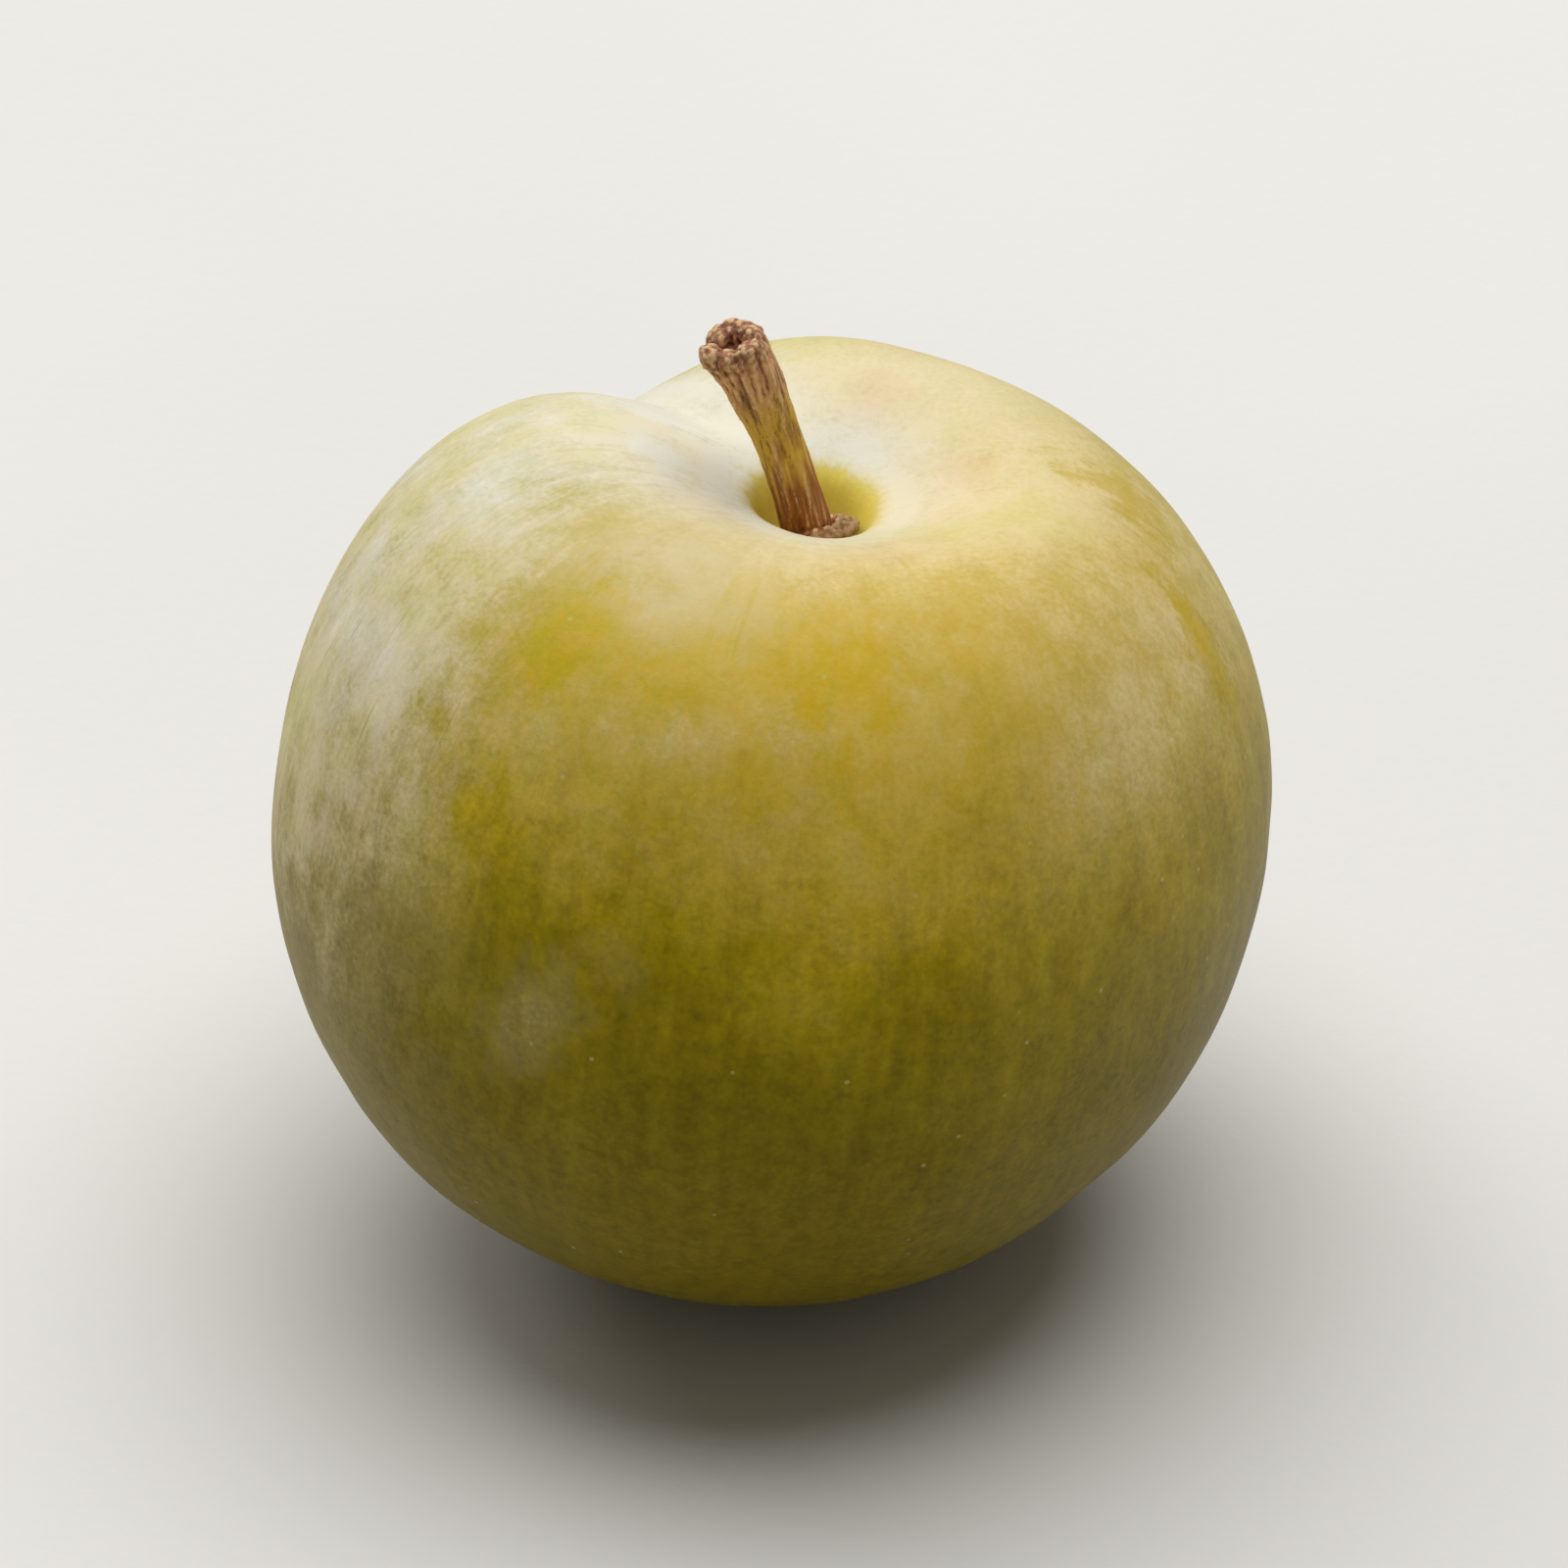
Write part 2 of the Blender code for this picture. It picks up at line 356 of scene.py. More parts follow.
# %% Displace the bark
RIDGE_DEPTH = 0.42
FIBRE_DEPTH = 0.11
LUMP_DEPTH = 0.24
RIDGE_LENGTHENING = 9
FIBRE_LENGTHENING = 4


def ridge_share(co):
    height = co.z / MM
    upper = 0.5 * rise(height, 6.5, 10)
    collar = 0.3 * (1 - rise(height, 1.5, 4))
    tip = 0.5 * rise(height, 11.2, 12.2)
    return 0.5 + upper + collar - tip


def lump_share(co):
    height = co.z / MM
    return rise(height, SHAFT_LENGTH - 2.0, SHAFT_LENGTH - 0.5) + 1 - rise(height, 0.9, 1.9)


def grain_empty(lengthening):
    """An empty in which a texture's lumps are in mm, and drawn out that many times along the shaft."""
    bpy.ops.object.empty_add()
    empty = bpy.context.object
    empty.scale = (MM, MM, lengthening * MM)
    bpy.context.view_layer.update()
    return empty


ridged = group_by(stalk, "ridged", ridge_share)
rough_ends = group_by(stalk, "rough_ends", lump_share)
long_grain = grain_empty(RIDGE_LENGTHENING)
short_grain = grain_empty(FIBRE_LENGTHENING)
apply_modifier(stalk, "DISPLACE", texture=cloud("ridges", 0.60), texture_coords="OBJECT",
               texture_coords_object=long_grain, strength=RIDGE_DEPTH * MM, mid_level=0.44,
               vertex_group=ridged)
apply_modifier(stalk, "DISPLACE", texture=cloud("fibres", 0.17), texture_coords="OBJECT",
               texture_coords_object=short_grain, strength=FIBRE_DEPTH * MM, mid_level=0.45,
               vertex_group=ridged)
apply_modifier(stalk, "DISPLACE", texture=cloud("lumps", 0.50 * MM), texture_coords="LOCAL",
               strength=LUMP_DEPTH * MM, mid_level=0.5, vertex_group=rough_ends)
bpy.data.objects.remove(long_grain)
bpy.data.objects.remove(short_grain)
stalk.vertex_groups.clear()
print("the straight stalk is", round(max(point.co.z for point in stalk.data.vertices) / MM, 1), "mm long")

# %% [markdown]
# ## What the bark's colours will need
# Two things about each point are kept as attributes before the stalk is bent: its place on the
# straight stalk, because the colours follow the grain, and how open it lies, because the hollows
# get painted shade and the ridges are made pale, partly as rubbed bark and partly as painted
# highlight. Dirty Vertex Colors, from Blender's Vertex Paint menu, works out the second one. Its
# numbers crowd near 0, so each point gets its rank among them instead, from 0 to 1.

# %% Keep two attributes
only(stalk)
# How open each point lies: it sets where the bark gets painted shade and painted highlight.
stalk.data.color_attributes.new("raw_openness", "FLOAT_COLOR", "POINT")
bpy.ops.paint.vertex_color_dirt(blur_strength=1.0, blur_iterations=3)
raw_openness = [shade.color[0] for shade in stalk.data.color_attributes["raw_openness"].data]
stalk.data.color_attributes.remove(stalk.data.color_attributes["raw_openness"])
openness = [0.0] * len(raw_openness)
for rank, i in enumerate(sorted(range(len(raw_openness)), key=raw_openness.__getitem__)):
    openness[i] = rank / len(raw_openness)
kept = stalk.data.attributes
kept.new("straight", "FLOAT_VECTOR", "POINT")
kept.new("openness", "FLOAT", "POINT")
kept["straight"].data.foreach_set("vector", [v / MM for point in stalk.data.vertices for v in point.co])
kept["openness"].data.foreach_set("value", openness)
print("straight and openness are kept for", len(raw_openness), "points")

# %% [markdown]
# ## Bending the stalk
# The straight stalk is laid along a curve from just under the pit's floor to where the tip stands
# in the photo. A Bezier curve with two points is enough: both handles aim at one knee, which gives
# a steady bend. The curve's tilt grows on the way up, which winds the ridges round the shaft.

# %% Draw the line of the stalk
STALK_FOOT = Vector((0.5, 0.0, 12.75))
STALK_RISE = 11.3
FOOT_SLOPE = 0.30
TIP_SLOPE = 0.58
START_TILT = math.radians(90)
GRAIN_TWIST = math.radians(40)

tip_sideways = -(FOOT_SLOPE + TIP_SLOPE) / 2 * STALK_RISE
foot = fruit_place(*STALK_FOOT)
tip = fruit_place(STALK_FOOT.x + tip_sideways, 0, STALK_FOOT.z + STALK_RISE)
knee = fruit_place(STALK_FOOT.x - FOOT_SLOPE * STALK_RISE / 2, 0, STALK_FOOT.z + STALK_RISE / 2)

bpy.ops.curve.primitive_bezier_curve_add()
line = bpy.context.object
line.data.resolution_u = 32
line.data.twist_mode = "MINIMUM"
start, end = line.data.splines[0].bezier_points
for point, place in ((start, foot), (end, tip)):
    point.handle_left_type = point.handle_right_type = "FREE"
    point.co = place
start.handle_right = start.co.lerp(knee, 2 / 3)
start.handle_left = start.co * 2 - start.handle_right
end.handle_left = end.co.lerp(knee, 2 / 3)
end.handle_right = end.co * 2 - end.handle_left
start.tilt = START_TILT
end.tilt = START_TILT + GRAIN_TWIST
print("the line goes from", [round(v / MM, 1) for v in foot], "to", [round(v / MM, 1) for v in tip], "mm")

# %% Bend the stalk along it
apply_modifier(stalk, "CURVE", object=line, deform_axis="POS_Z")
bpy.data.objects.remove(line)
stalk.data.shade_smooth()
solid_low, solid_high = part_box("stalk")
low = [min(point.co[i] for point in stalk.data.vertices) for i in range(3)]
high = [max(point.co[i] for point in stalk.data.vertices) for i in range(3)]
print("the stalk reaches", [round(v / MM, 1) for v in low + high], "mm, and its solid",
      [round(v / MM, 1) for v in (*solid_low, *solid_high)])

# %% [markdown]
# ## Mixing materials
# Every finish here is worked out by nodes from the place on the object, so it needs no pictures
# and stays put when the camera moves. `Mixer` keeps the recipes short: each call adds one node and
# gives back the socket that the next call reads. Colours are picked as a screen shows them, and
# `colour` turns them into the even scale that Blender mixes in.

# %% The mixer
def colour(red, green, blue):
    def even(level):
        share = level / 255
        return share / 12.92 if share <= 0.04045 else ((share + 0.055) / 1.055) ** 2.4
    return (even(red), even(green), even(blue), 1.0)


class Mixer:
    def __init__(self, name):
        self.material = bpy.data.materials.new(name)
        self.material.use_nodes = True
        self.tree = self.material.node_tree
        self.surface = self.tree.nodes["Principled BSDF"]

    def feed(self, socket, value):
        if isinstance(value, bpy.types.NodeSocket):
            self.tree.links.new(value, socket)
        else:
            socket.default_value = value

    def node(self, kind, inputs=(), output=0, **settings):
        made = self.tree.nodes.new("ShaderNode" + kind)
        for name, value in settings.items():
            setattr(made, name, value)
        for socket, value in dict(inputs).items():
            self.feed(made.inputs[socket], value)
        return made.outputs[output]

    def maths(self, operation, *values):
        return self.node("Math", dict(enumerate(values)), operation=operation)

    def times(self, *shares):
        """All the shares multiplied together."""
        product = shares[0]
        for share in shares[1:]:
            product = self.maths("MULTIPLY", product, share)
        return product

    def vector(self, operation, *values):
        return self.node("VectorMath", dict(enumerate(values)), operation=operation)

    def length(self, vector):
        return self.node("VectorMath", {0: vector}, "Value", operation="LENGTH")

    def rise(self, value, low, high, start=0.0, end=1.0):
        """An even S from start to end while value goes from low to high."""
        return self.node("MapRange", {"Value": value, "From Min": low, "From Max": high,
                                      "To Min": start, "To Max": end}, interpolation_type="SMOOTHSTEP")

    def noise(self, place, lump, detail=2.0, rough=0.5, swirl=0.0, seed=0.0):
        """Cloudy noise round 0.5, with lumps of the given size in the place's own units."""
        shifted = self.vector("ADD", place, (seed * 17.3, seed * 9.1, seed * 5.7))
        return self.node("TexNoise", {"Vector": shifted, "Scale": 1 / lump, "Detail": detail,
                                      "Roughness": rough, "Distortion": swirl})

    def mix(self, share, first, second):
        return self.node("Mix", {"Factor": share, 6: first, 7: second}, 2, data_type="RGBA")

    def bump(self, height, depth):
        return self.node("Bump", {"Height": height, "Distance": depth, "Strength": 1.0})


print("a screen's middle grey is", round(colour(128, 128, 128)[0], 3), "on the even scale")

# %% [markdown]
# ## Places on the skin
# Object coordinates come in metres and upright. A Mapping node of the texture kind brings them
# into the fruit's own frame, in millimetres. From that come the distance from the axis, the
# height above the girth, a compass direction for streaks that run from stalk to blossom end,
# and the distance to the seam. A little noise is added first, so that nothing drawn with these
# has a ruled edge.

# %% Coordinates on the skin
WOBBLE_SCALE = 0.22
FAR_STRAY = 5.0
NEAR_STRAY = 1.2
STREAK_SPREAD = 20.0
STREAK_CLIMB = 0.14

skin_mix = Mixer("bloomed_skin")
here = skin_mix.node("TexCoord", output="Object")
place = skin_mix.node("Mapping", {"Vector": here, "Location": HEART, "Rotation": lean.to_euler(),
                                  "Scale": (MM, MM, MM)}, vector_type="TEXTURE")
wobble = skin_mix.node("TexNoise", {"Vector": place, "Scale": WOBBLE_SCALE, "Detail": 4.0,
                                    "Roughness": 0.6}, "Color")
wobble = skin_mix.vector("SUBTRACT", wobble, (0.5, 0.5, 0.5))
soft_place = skin_mix.vector("MULTIPLY_ADD", wobble, (FAR_STRAY,) * 3, place)
near_place = skin_mix.vector("MULTIPLY_ADD", wobble, (NEAR_STRAY,) * 3, place)
above_girth = skin_mix.node("SeparateXYZ", {0: place}).node.outputs["Z"]
flat_place = skin_mix.vector("MULTIPLY", place, (1.0, 1.0, 0.0))
from_axis = skin_mix.length(flat_place)
compass = skin_mix.vector("NORMALIZE", flat_place)
along_skin = skin_mix.vector("MULTIPLY_ADD", compass, (STREAK_SPREAD, STREAK_SPREAD, 0.0),
                             skin_mix.vector("MULTIPLY", place, (0.0, 0.0, STREAK_CLIMB)))
seam_place = skin_mix.node("VectorRotate", {"Vector": near_place, "Angle": -math.radians(SEAM_TURN)},
                           rotation_type="Z_AXIS")
seam_axes = skin_mix.node("SeparateXYZ", {0: seam_place})
across_seam = skin_mix.maths("ABSOLUTE", seam_axes.node.outputs["Y"])
seam_side = skin_mix.rise(seam_axes.node.outputs["X"], 0.0, 4.0)
print("the skin's coordinates take", len(skin_mix.tree.nodes), "nodes")

# %% [markdown]
# ## Noise for the skin
# All the unevenness of the skin comes from a few noises, from patches as wide as a thumb to
# powder that is hardly seen. The streaks are noise on coordinates that are drawn out from stalk
# to blossom end, because the skin was stretched that way as it grew.

# %% Noises on the skin
broad = skin_mix.noise(place, 9.0, detail=3.0, rough=0.5, swirl=0.3)
patches = skin_mix.noise(place, 4.0, detail=4.0, rough=0.5, swirl=0.3, seed=6.0)
mottle = skin_mix.noise(place, 1.6, detail=4.0, rough=0.55, seed=1.0)
streaks = skin_mix.noise(along_skin, 0.9, detail=4.0, rough=0.6, seed=2.0)
powder = skin_mix.noise(place, 0.30, detail=3.0, rough=0.7, seed=3.0)


def weighed(*pairs):
    """Noises less their middle, each times its weight, added up."""
    total = 0.0
    for noise, weight in pairs:
        total = skin_mix.maths("MULTIPLY_ADD", skin_mix.maths("SUBTRACT", noise, 0.5), weight, total)
    return total


ragged = weighed((mottle, 1.4), (streaks, 1.4), (powder, 0.5))
print("the skin's noises bring that to", len(skin_mix.tree.nodes), "nodes")

# %% [markdown]
# ## Where on the skin
# Four helpers say where something lies. `by_height` goes from the blossom end to the crown,
# `facing` picks the side towards a turn, `mark` draws one oval with a ragged edge, as a thumb
# leaves it, and `together` lays several marks over each other.

# %% Helpers for places on the skin
MARK_REACH = 6.0


def by_height(low, high, start=0.0, end=1.0):
    """Goes from start to end while the height above the girth, in mm, goes from low to high."""
    return skin_mix.rise(above_girth, low, high, start, end)


def facing(turn, low, high, start=0.0, end=1.0, uneven=0.0):
    """Goes from start to end towards a turn. low and high are cosines of the angle off it."""
    side = (math.cos(math.radians(turn)), math.sin(math.radians(turn)), 0.0)
    towards = skin_mix.node("VectorMath", {0: compass, 1: side}, "Value", operation="DOT_PRODUCT")
    if uneven:
        strayed = weighed((broad, 1.8 * uneven), (patches, uneven), (streaks, 0.5 * uneven))
        towards = skin_mix.maths("ADD", towards, strayed)
    return skin_mix.rise(towards, low, high, start, end)


def mark(turn, outward, height, around, up, tilt=0.0, soft=1.0):
    """1 in the middle of an oval on the skin, 0 past its ragged edge. Lengths in mm, turns in degrees."""
    side = math.radians(turn)
    middle = (outward * math.cos(side), outward * math.sin(side), height)
    inside = skin_mix.node("Mapping", {"Vector": soft_place, "Location": middle,
                                       "Rotation": (math.radians(tilt), 0, side),
                                       "Scale": (MARK_REACH + around, around, up)}, vector_type="TEXTURE")
    from_middle = skin_mix.maths("ADD", skin_mix.length(inside), ragged)
    return skin_mix.rise(from_middle, 1.0 + 0.25 * soft, 1.0 - 0.75 * soft)


def together(*marks):
    """The strongest of several marks."""
    strongest = marks[0]
    for other in marks[1:]:
        strongest = skin_mix.maths("MAXIMUM", strongest, other)
    return strongest


print("an oval mark is", MARK_REACH, "mm deeper than it is wide, so it can't miss the skin")

# %% [markdown]
# ## The colour under the bloom
# Wipe a ripe greengage and the skin is a deep green-gold: gold where the sun reached it, olive
# low down, leaf green at the back and yellow-green in the stalk's pit. Towards the very bottom the
# olive is darkened further, partly the fruit's own deeper olive and partly painted shade. The
# patches are broad and soft, with finer mottling, amber freckles and faint streaks that run from the
# stalk to the blossom end. A grain of lighter and darker specks lies over them, most of all low
# down, where no bloom hides it.

# %% Skin colours
GOLD = colour(200, 168, 28)
HONEY = colour(207, 175, 58)
AMBER = colour(198, 156, 24)
OLIVE = colour(158, 140, 6)
DEEP_OLIVE_AND_SHADE = colour(112, 97, 2)
LEAF = colour(156, 154, 26)

sunny = facing(-56, -0.6, 0.9)
skin_colour = skin_mix.mix(sunny, LEAF, GOLD)
skin_colour = skin_mix.mix(skin_mix.rise(mottle, 0.40, 0.62), skin_colour, skin_mix.mix(sunny, OLIVE, HONEY))
freckles = skin_mix.noise(place, 0.8, detail=3.0, rough=0.55, swirl=0.4, seed=9.0)
skin_colour = skin_mix.mix(skin_mix.rise(freckles, 0.46, 0.62, 0.0, 0.28), skin_colour, AMBER)
skin_colour = skin_mix.mix(skin_mix.rise(streaks, 0.50, 0.72, 0.0, 0.3), skin_colour, LEAF)
uneven_height = skin_mix.maths("ADD", above_girth, weighed((broad, 12.0), (patches, 8.0), (streaks, 4.0)))
skin_colour = skin_mix.mix(skin_mix.rise(uneven_height, 17.0, 2.0, 0.0, 1.0), skin_colour, OLIVE)
# Darker olive towards the bottom: partly the skin's own colour and partly painted shade.
skin_colour = skin_mix.mix(skin_mix.rise(uneven_height, 11.5, -6.5, 0.0, 0.92), skin_colour, DEEP_OLIVE_AND_SHADE)
specks = weighed((powder, 0.7), (freckles, 0.8), (streaks, 0.5))
shading = skin_mix.maths("MULTIPLY_ADD", specks, by_height(17.0, 7.0, 0.25, 1.0), 1.0)
skin_colour = skin_mix.vector("MULTIPLY", skin_colour, shading)
print("the plain skin brings that to", len(skin_mix.tree.nodes), "nodes")

# %% [markdown]
# The stalk's pit is yellow-green with an edge that frays along fine streaks, and the scar of the
# blossom is a small corky spot underneath. Fine green hair streaks run down the left side, where
# the bloom is whitest. They are laid over everything at the end.

# %% Pit, scar and hair streaks
PIT_GREEN = colour(232, 212, 84)
SCAR_BROWN = colour(98, 70, 24)
HAIR_GREEN = colour(120, 124, 40)

round_pit = skin_mix.vector("MULTIPLY", compass, (3.0, 3.0, 0.0))
pit_streaks = skin_mix.noise(round_pit, 0.5, detail=2.0, seed=5.0)
from_pit = skin_mix.length(skin_mix.vector("SUBTRACT", flat_place, (0.0, 0.25, 0.0)))
from_pit = skin_mix.maths("ADD", from_pit, weighed((pit_streaks, 0.9)))
in_crown = by_height(5.0, 10.0)
pit = skin_mix.times(skin_mix.rise(from_pit, 4.2, 1.9), in_crown)
skin_colour = skin_mix.mix(pit, skin_colour, PIT_GREEN)

from_scar = skin_mix.maths("ADD", from_axis, ragged)
scar = skin_mix.times(skin_mix.rise(from_scar, 1.2, 0.7), by_height(-14.0, -18.0))
skin_colour = skin_mix.mix(scar, skin_colour, SCAR_BROWN)

long_skin = skin_mix.vector("MULTIPLY", along_skin, (1.0, 1.0, 0.35))
hairs = skin_mix.noise(long_skin, 0.30, detail=1.0, seed=7.0)
hairs = skin_mix.times(skin_mix.rise(hairs, 0.66, 0.78, 0.0, 0.45), facing(180, 0.4, 0.9),
                       by_height(17.0, 12.0))
print("the pit, the scar and the hairs bring that to", len(skin_mix.tree.nodes), "nodes")

# %% [markdown]
# ## Layers of bloom
# Bloom is a powdery wax that the plum grows over its skin. It scatters light, so it looks cream
# to grey and matt, and where it is thin it has a lilac cast. It lies thick on the shoulders, in the
# seam and round the pit, and thinly everywhere else above the girth. Each of these is a layer with
# its own place, and their edges are shifted by the noises.

# %% Layers of bloom
crown_edge = skin_mix.maths("ADD", from_axis, weighed((patches, 7.0), (mottle, 2.0)))
crown_edge = skin_mix.maths("ADD", crown_edge, facing(-90, 0.0, 1.0, 0.0, 4.5))
crown = skin_mix.times(skin_mix.rise(crown_edge, 23.0, 8.0), in_crown, facing(-20, 0.2, 0.9, 1.0, 0.82))
left_side = skin_mix.times(facing(170, 0.35, 0.85), by_height(-14.0, 10.0, 0.12, 0.70))
right_side = skin_mix.times(facing(-8, 0.3, 0.9), by_height(5.0, 13.0, 0.08, 0.47))
back_side = skin_mix.times(facing(85, -0.35, 0.95, uneven=0.7), by_height(-16.0, 10.0, 0.25, 0.60))
seam_bloom = skin_mix.times(skin_mix.rise(across_seam, 6.5, 1.5), seam_side,
                            by_height(-18.0, 8.0, 0.2, 0.95))
pit_rim = skin_mix.times(skin_mix.rise(from_axis, 8.0, 4.0), in_crown)
film = skin_mix.times(skin_mix.rise(patches, 0.36, 0.66, 0.16, 0.32), by_height(5.0, 17.0))
print("seven layers bring that to", len(skin_mix.tree.nodes), "nodes")

# %% [markdown]
# ## Marks in the bloom
# Some patches of bloom stand where the photo shows them, so they are placed one by one: a wide soft
# veil on the front shoulder, lilac marks at both sides and grey ones low in front. Each row holds
# a turn, a distance from the axis, a height above the girth, half the width and height of the oval,
# and its tilt. `bloom` is how thick the bloom lies, from 0 to 1: the thickest of all these.

# %% Marks in the bloom
VEIL = (-122, 13.5, 18.9, 9.5, 3.0)
LILAC_MARKS = (
    (-156, 20.6, 10.5, 1.7, 4.0, -20),
    (-146, 22.3, 6.5, 1.8, 3.8, -25),
    (-8, 15.5, 15.6, 2.2, 2.2, 0),
    (-19, 18.2, 13.0, 1.6, 3.2, 0),
)
GREY_MARKS = (
    (-135, 23.3, 3.4, 2.2, 3.4, -30),
    (-118, 23.5, 0.8, 2.6, 3.8, -30),
)
FAINT_MARK = (-108, 23.3, 4.5, 1.6, 2.0)

veil = mark(*VEIL, soft=1.3)
lilac_marks = together(*(mark(*row) for row in LILAC_MARKS))
grey_marks = together(*(mark(*row) for row in GREY_MARKS), skin_mix.times(mark(*FAINT_MARK), 0.5))
bloom = together(crown, left_side, right_side, back_side, seam_bloom, pit_rim, film,
                 skin_mix.times(veil, 0.62), skin_mix.times(lilac_marks, 0.45),
                 skin_mix.times(grey_marks, 0.24))
print("the marks bring that to", len(skin_mix.tree.nodes), "nodes")

# %% [markdown]
# ## Wear on the bloom
# Bloom is never even. The noises thicken and thin it, more at the left than at the right. It rubs off
# wherever the fruit is touched, so rubbed marks are placed where the photo shows bare skin, and a
# noise scatters smaller ones. The lowest one, at the front left, also stands for painted shade
# there. It is also gone from the bottom of the pit and thinner along the very bottom of the seam,
# and a fine grain of powder covers what is left.

# %% Wear on the bloom
unevenness = weighed((broad, 2.0), (patches, 2.2), (mottle, 2.2), (streaks, 1.1))
unevenness = skin_mix.times(unevenness, facing(-165, -0.2, 0.8, 0.7, 1.35))
bloom = skin_mix.maths("MULTIPLY_ADD", unevenness, skin_mix.rise(bloom, 0.0, 0.5, 0.03, 0.22), bloom)

soft_rubs = together(mark(-84, 16.6, 16.8, 2.8, 2.8, soft=1.3), mark(-129, 18.1, 15.9, 2.0, 3.0, soft=1.3))
rub_noise = skin_mix.noise(soft_place, 3.2, detail=3.0, rough=0.6, seed=8.0)
rubbed = together(mark(-127, 22.4, 8.3, 2.3, 3.0), skin_mix.times(soft_rubs, 0.75),
                  mark(-13, 19.0, 11.6, 1.5, 5.0, tilt=-14),
                  skin_mix.times(mark(9, 14.2, 16.8, 2.4, 3.4), 0.45),
                  # This low mark takes the bloom off partly as painted shade, darkening the front left low
                  # down.
                  mark(-130, 23.5, -1.5, 2.0, 3.0),
                  skin_mix.times(skin_mix.rise(rub_noise, 0.60, 0.78, 0.0, 0.6), by_height(17.0, 12.0)))
seam_line = skin_mix.times(skin_mix.rise(across_seam, 1.0, 0.0), by_height(13.0, 4.0))
bloom = skin_mix.times(bloom, skin_mix.rise(rubbed, 0.0, 1.0, 1.0, 0.12),
                       skin_mix.rise(pit, 0.0, 1.0, 1.0, 0.1),
                       skin_mix.rise(seam_line, 0.0, 1.0, 1.0, 0.6))
grain = skin_mix.times(weighed((powder, 1.0)), skin_mix.rise(bloom, 0.0, 0.3, 0.07, 0.5))
bloom = skin_mix.maths("ADD", bloom, grain)
bloom = skin_mix.node("Clamp", {"Value": bloom, "Min": 0.0, "Max": 1.0})
print("the wear brings that to", len(skin_mix.tree.nodes), "nodes")

# %% [markdown]
# ## The bloom's colours
# Thick bloom is cream, with a breath of rose or green in wide patches. It is white in the seam, on
# the left side and round the pit, most of all towards the seam. Thin bloom is a dull lilac over the
# gold, and the veil in front is a pale pearl grey.

# %% Colours of the bloom
CREAM = colour(223, 209, 171)
WHITE = colour(223, 221, 210)
LILAC = colour(196, 181, 138)
PEARL = colour(206, 196, 166)
ROSE = colour(222, 198, 166)
PALE_GREEN = colour(212, 208, 150)

tint = skin_mix.noise(place, 5.0, detail=3.0, seed=4.0)
bloom_colour = skin_mix.mix(skin_mix.rise(tint, 0.52, 0.66, 0.0, 0.6), CREAM, ROSE)
bloom_colour = skin_mix.mix(skin_mix.rise(tint, 0.46, 0.34, 0.0, 0.6), bloom_colour, PALE_GREEN)
white_side = skin_mix.times(facing(165, 0.35, 0.9), skin_mix.rise(tint, 0.40, 0.60, 0.35, 0.95),
                            by_height(3.0, 14.0, 0.2, 1.0))
white_rim = skin_mix.times(pit_rim, facing(140, -0.7, 0.4, 0.4, 1.0))
white_bloom = together(skin_mix.times(seam_bloom, 0.9), white_rim, white_side)
bloom_colour = skin_mix.mix(white_bloom, bloom_colour, WHITE)
bloom_colour = skin_mix.mix(skin_mix.rise(bloom, 0.65, 0.25), bloom_colour, LILAC)
bloom_colour = skin_mix.mix(skin_mix.times(veil, 0.9), bloom_colour, PEARL)
finished_colour = skin_mix.mix(skin_mix.times(bloom, 0.93), skin_colour, bloom_colour)
finished_colour = skin_mix.mix(hairs, finished_colour, HAIR_GREEN)
print("the bloom's colours bring that to", len(skin_mix.tree.nodes), "nodes")

# %% [markdown]
# ## Pores and the skin's finish
# Last come the pores, tiny pale dots that are most plain where the bloom is thin. A Voronoi
# texture gives them: its cells lie all through the fruit, and only the few whose middle happens to
# be in the skin show as a dot. Thick bloom is matt with a faint sheen, and bare skin is smoother,
# with a soft gleam whose golden tint is a painted warm reflection.

# %% Pores and the skin's finish
PORE = colour(196, 184, 120)

pore_distance = skin_mix.node("TexVoronoi", {"Vector": place, "Scale": 0.5}, "Distance")
pores = skin_mix.times(skin_mix.rise(pore_distance, 0.08, 0.03, 0.0, 0.6), skin_mix.rise(bloom, 0.5, 0.1))
finished_colour = skin_mix.mix(pores, finished_colour, PORE)

surface = skin_mix.surface
skin_mix.feed(surface.inputs["Base Color"], finished_colour)
skin_mix.feed(surface.inputs["Roughness"], skin_mix.rise(bloom, 0.0, 0.8, 0.44, 0.75))
skin_mix.feed(surface.inputs["Sheen Weight"], skin_mix.rise(bloom, 0.1, 0.8, 0.0, 0.06))
surface.inputs["Sheen Roughness"].default_value = 0.5
surface.inputs["Sheen Tint"].default_value = (1.0, 0.92, 0.6, 1.0)
surface.inputs["IOR"].default_value = 1.42
surface.inputs["Specular IOR Level"].default_value = 0.18
# The gleam's golden tint is a painted warm reflection, not a colour that the wax has.
surface.inputs["Specular Tint"].default_value = (1.0, 0.88, 0.3, 1.0)
fine_relief = weighed((powder, 0.35), (mottle, 0.8))
skin_mix.feed(surface.inputs["Normal"], skin_mix.bump(fine_relief, 0.05 * MM))
skin.data.materials.append(skin_mix.material)
print("the skin's whole recipe has", len(skin_mix.tree.nodes), "nodes")

# %% [markdown]
# ## The bark
# The shaft is ochre in the middle, where it was green not long ago, and turns red-brown to the
# foot and pinkish tan to the broken end, with liver-brown blotches all the way. Ridges are pale,
# partly where they were rubbed and partly as painted highlight, and the hollows between them are
# darkened as painted shade. The colours are laid out on the straight stalk, through the attribute
# that was kept before it was bent, so they wind round the shaft together with the ridges.

# %% Places on the bark
GRAIN_DRAWN_OUT = (1.0, 1.0, 0.14)

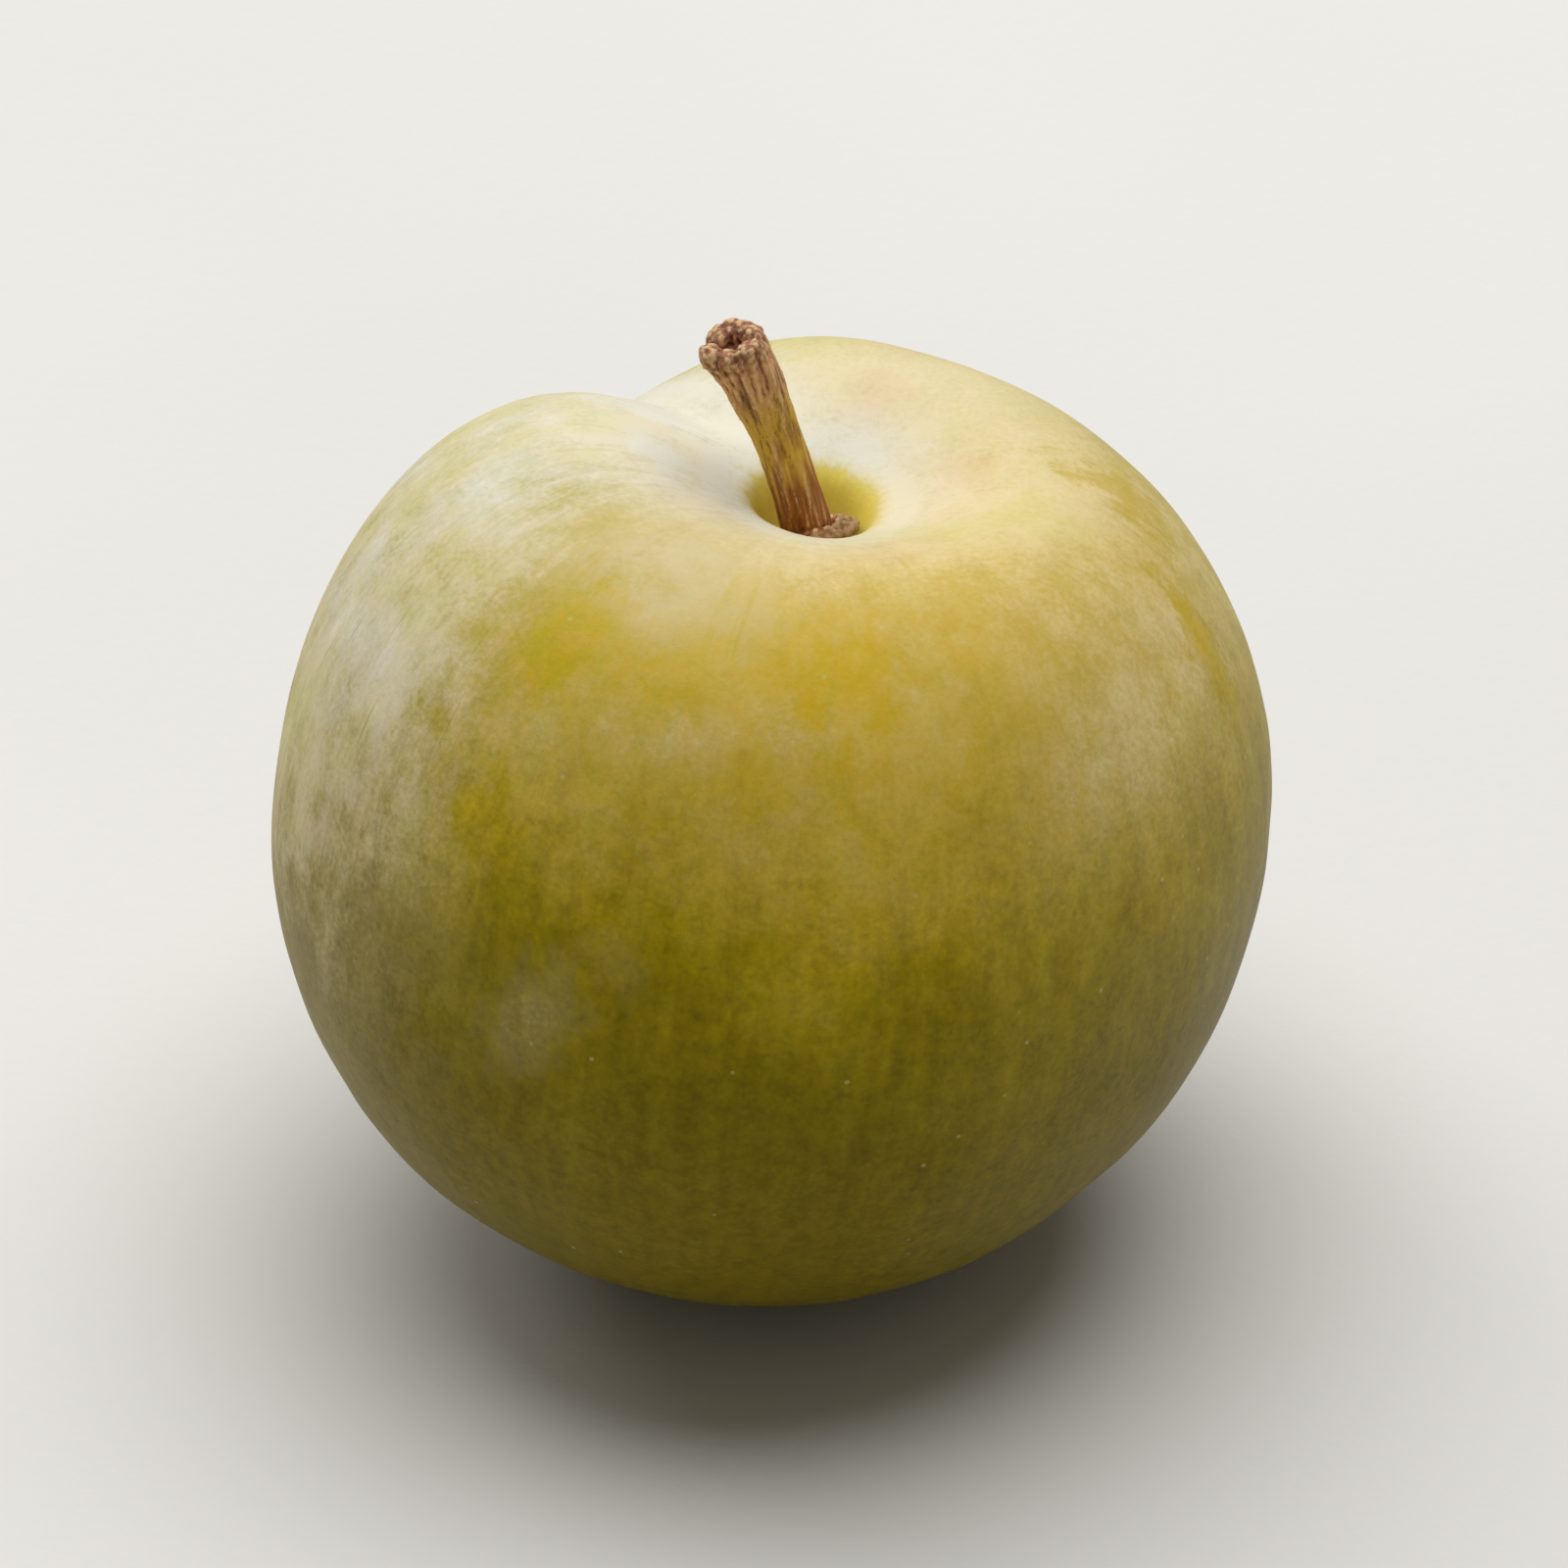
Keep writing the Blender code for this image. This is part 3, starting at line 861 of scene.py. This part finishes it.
bark = Mixer("stalk_bark")
straight_place = bark.node("Attribute", output="Vector", attribute_name="straight")
bark_height = bark.node("SeparateXYZ", {0: straight_place}).node.outputs["Z"]
from_middle = bark.length(bark.vector("MULTIPLY", straight_place, (1.0, 1.0, 0.0)))
drawn_out = bark.vector("MULTIPLY", straight_place, GRAIN_DRAWN_OUT)
fibre = bark.noise(drawn_out, 0.20, detail=4.0, rough=0.65)
strand = bark.noise(drawn_out, 0.5, detail=2.0, seed=2.0)
fleck = bark.noise(straight_place, 0.6, detail=3.0, rough=0.6, seed=1.0)
blotch = bark.noise(bark.vector("MULTIPLY", straight_place, (1.0, 1.0, 0.4)), 0.8, detail=3.0, seed=4.0)
openness_here = bark.node("Attribute", output="Fac", attribute_name="openness")
open_share = bark.maths("MULTIPLY_ADD", bark.maths("SUBTRACT", fibre, 0.5), 0.8, openness_here)

to_tip = bark.rise(bark.maths("MULTIPLY_ADD", fleck, 3.0, bark_height), 9.3, 12.0)
to_foot = bark.rise(bark.maths("MULTIPLY_ADD", strand, 5.0, bark_height), 9.0, 6.4)
at_break = bark.rise(bark.maths("MULTIPLY_ADD", fleck, 1.5, bark_height),
                     SHAFT_LENGTH - 0.6, SHAFT_LENGTH + 0.5)
cork_ring = bark.rise(bark.maths("MULTIPLY_ADD", fleck, 1.0, bark_height), 2.3, 1.9)
cork_lip = bark.times(bark.rise(from_middle, 1.35, 1.5), bark.rise(bark_height, 4.0, 3.0))
in_cork = bark.maths("MAXIMUM", cork_ring, cork_lip)
print("the bark's places take", len(bark.tree.nodes), "nodes")

# %% Colours of the bark
OCHRE = colour(212, 172, 60)
RUSSET = colour(160, 98, 46)
TAN = colour(212, 160, 110)
LIVER = colour(138, 88, 54)
UMBER = colour(156, 106, 78)
RUB_AND_HIGHLIGHT = colour(238, 204, 152)
CORK = colour(150, 120, 82)
PAINTED_SHADE = colour(92, 50, 30)

bark_colour = bark.mix(to_foot, OCHRE, RUSSET)
bark_colour = bark.mix(to_tip, bark_colour, TAN)
bark_colour = bark.mix(bark.rise(strand, 0.52, 0.70, 0.0, 0.45), bark_colour, TAN)
bark_colour = bark.mix(bark.rise(blotch, 0.50, 0.64, 0.0, 0.55), bark_colour, LIVER)
bark_colour = bark.mix(at_break, bark_colour, UMBER)
# Pale on the open ridges: partly rubbed bark and partly a painted highlight.
bark_colour = bark.mix(bark.rise(open_share, 0.50, 0.95, 0.0, 0.70), bark_colour, RUB_AND_HIGHLIGHT)
bark_colour = bark.mix(bark.times(in_cork, 0.8), bark_colour, CORK)
# Painted shade: the hollows between the ridges are darkened, as if shade fell in them.
bark_colour = bark.mix(bark.rise(open_share, 0.32, 0.02, 0.0, 0.70), bark_colour, PAINTED_SHADE)
bark.feed(bark.surface.inputs["Base Color"], bark_colour)
bark.feed(bark.surface.inputs["Roughness"], bark.rise(fibre, 0.3, 0.7, 0.85, 0.6))
bark.surface.inputs["Specular IOR Level"].default_value = 0.3
bark.feed(bark.surface.inputs["Normal"], bark.bump(fibre, 0.07 * MM))
stalk.data.materials.append(bark.material)
print("the bark's whole recipe has", len(bark.tree.nodes), "nodes")

# %% [markdown]
# ## The floor
# A plain pale table, so that nothing competes with the fruit. Two pale greys that hardly differ are
# mixed by a wide noise, and a fine one makes it a little rough, as limed wood or paper is.

# %% Lay the floor
FLOOR_WIDTH = 6.0
GREY = (0.69, 0.68, 0.66, 1.0)
PALER_GREY = (0.72, 0.71, 0.69, 1.0)

bpy.ops.object.select_all(action="DESELECT")
bpy.ops.mesh.primitive_plane_add(size=FLOOR_WIDTH)
floor = bpy.context.object
floor.name = "floor"
table = Mixer("pale_table")
table_place = table.node("TexCoord", output="Object")
cloudy = table.rise(table.noise(table_place, 120 * MM, detail=3.0), 0.35, 0.65)
table.feed(table.surface.inputs["Base Color"], table.mix(cloudy, GREY, PALER_GREY))
table.surface.inputs["Roughness"].default_value = 0.9
table_relief = table.noise(table_place, 0.8 * MM, detail=2.0)
table.feed(table.surface.inputs["Normal"], table.bump(table_relief, 0.03 * MM))
floor.data.materials.append(table.material)
print("the floor is", FLOOR_WIDTH, "m wide")

# %% [markdown]
# ## Camera and light
# The photo looks down at about 35 degrees, as if through a long lens from a metre away. The light
# is very soft and comes from above and a little behind: a big disc overhead, a smaller one behind
# at the left, and a pale room.

# %% Camera
VIEW_HEIGHT = math.radians(35)
VIEW_DISTANCE = 1.07
FRAME_WIDTH = 0.070
FILM_WIDTH = 36
AIM = Vector((0.0, 0.0, 0.0222))

scene = bpy.context.scene
camera = bpy.data.objects.new("camera", bpy.data.cameras.new("camera"))
scene.collection.objects.link(camera)
scene.camera = camera
camera.location = AIM + VIEW_DISTANCE * Vector((0, -math.cos(VIEW_HEIGHT), math.sin(VIEW_HEIGHT)))
camera.rotation_euler = (math.pi / 2 - VIEW_HEIGHT, 0, 0)
camera.data.sensor_width = FILM_WIDTH
camera.data.lens = FILM_WIDTH * VIEW_DISTANCE / FRAME_WIDTH
print("the lens is", round(camera.data.lens), "mm long")

# %% Light
scene.view_settings.view_transform = "Standard"
room = bpy.data.worlds.new("room")
room.use_nodes = True
room.node_tree.nodes["Background"].inputs["Color"].default_value = (1.0, 0.96, 0.86, 1.0)
room.node_tree.nodes["Background"].inputs["Strength"].default_value = 0.18
scene.world = room


def softbox(name, place, size, power):
    light = bpy.data.lights.new(name, "AREA")
    light.shape = "DISK"
    light.size = size
    light.energy = power
    lamp = bpy.data.objects.new(name, light)
    scene.collection.objects.link(lamp)
    lamp.location = place
    lamp.rotation_euler = (AIM - Vector(place)).to_track_quat("-Z", "Y").to_euler()
    print(name, "light,", size, "m across,", power, "W")


softbox("overhead", (0.03, 0.24, 1.0), 1.3, 13.0)
softbox("behind", (-0.75, 0.65, 0.75), 0.7, 3.0)

# %% [markdown]
# ## Hand over
# Each finished piece is tied to the body that it moves with, and takes the place of its solid.

# %% Tie the pieces to the solids
for piece, node, slot in ((skin, "fruit", "bloomed_skin"), (stalk, "stalk", "stalk_bark")):
    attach(piece, "root")
    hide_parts(node)
